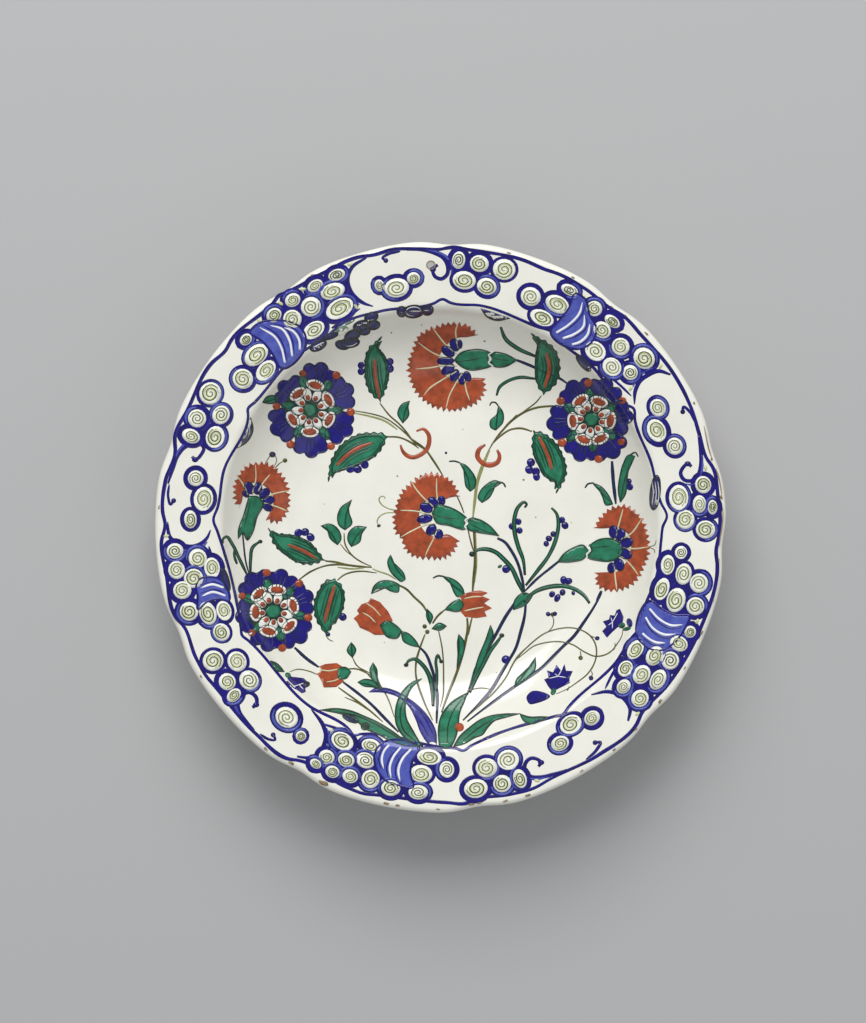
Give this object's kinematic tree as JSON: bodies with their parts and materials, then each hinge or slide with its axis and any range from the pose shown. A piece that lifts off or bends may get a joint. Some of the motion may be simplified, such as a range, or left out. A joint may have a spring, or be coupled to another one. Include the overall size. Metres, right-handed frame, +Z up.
{
  "type": "painted ceramic dish",
  "caption": "Round ceramic dish with a deep curved well, a wide bracketed rim pierced for hanging and a turned foot ring, painted with flowers under a clear glaze.",
  "frame": {"origin": "centre of the foot ring's standing edge, on the surface the dish lies on", "axes": "+Z up out of the well; +Y towards the top of the painted picture, where the hanging hole is; +X to the picture's right"},
  "size_m": [0.2995, 0.2973, 0.0503],
  "materials": {
    "stonepaste": "matt fired stonepaste",
    "biscuit_foot": "matt bare fired clay",
    "white_slip": "matt white slip",
    "clear_glaze": "glossy clear glaze over white slip",
    "red_clay": "red clay under clear glaze"
  },
  "bodies": {
    "root": {"fritware_body": "stonepaste", "foot_ring": "biscuit_foot", "slip_coat": "white_slip", "glaze_coat": "clear_glaze", "base_glaze": "clear_glaze", "foot_glaze": "clear_glaze", "carnation_top": "red_clay", "carnation_left": "red_clay", "carnation_centre": "red_clay", "carnation_right": "red_clay", "tulip_lower_right": "red_clay", "tulip_lower_left": "red_clay", "tulip_middle_left": "red_clay", "crescent_left": "red_clay", "crescent_right": "red_clay", "leaf_ribs": "red_clay", "rosette_upper_left": "red_clay", "rosette_upper_right": "red_clay", "rosette_lower_left": "red_clay", "berry": "red_clay"}
  },
  "joints": []
}
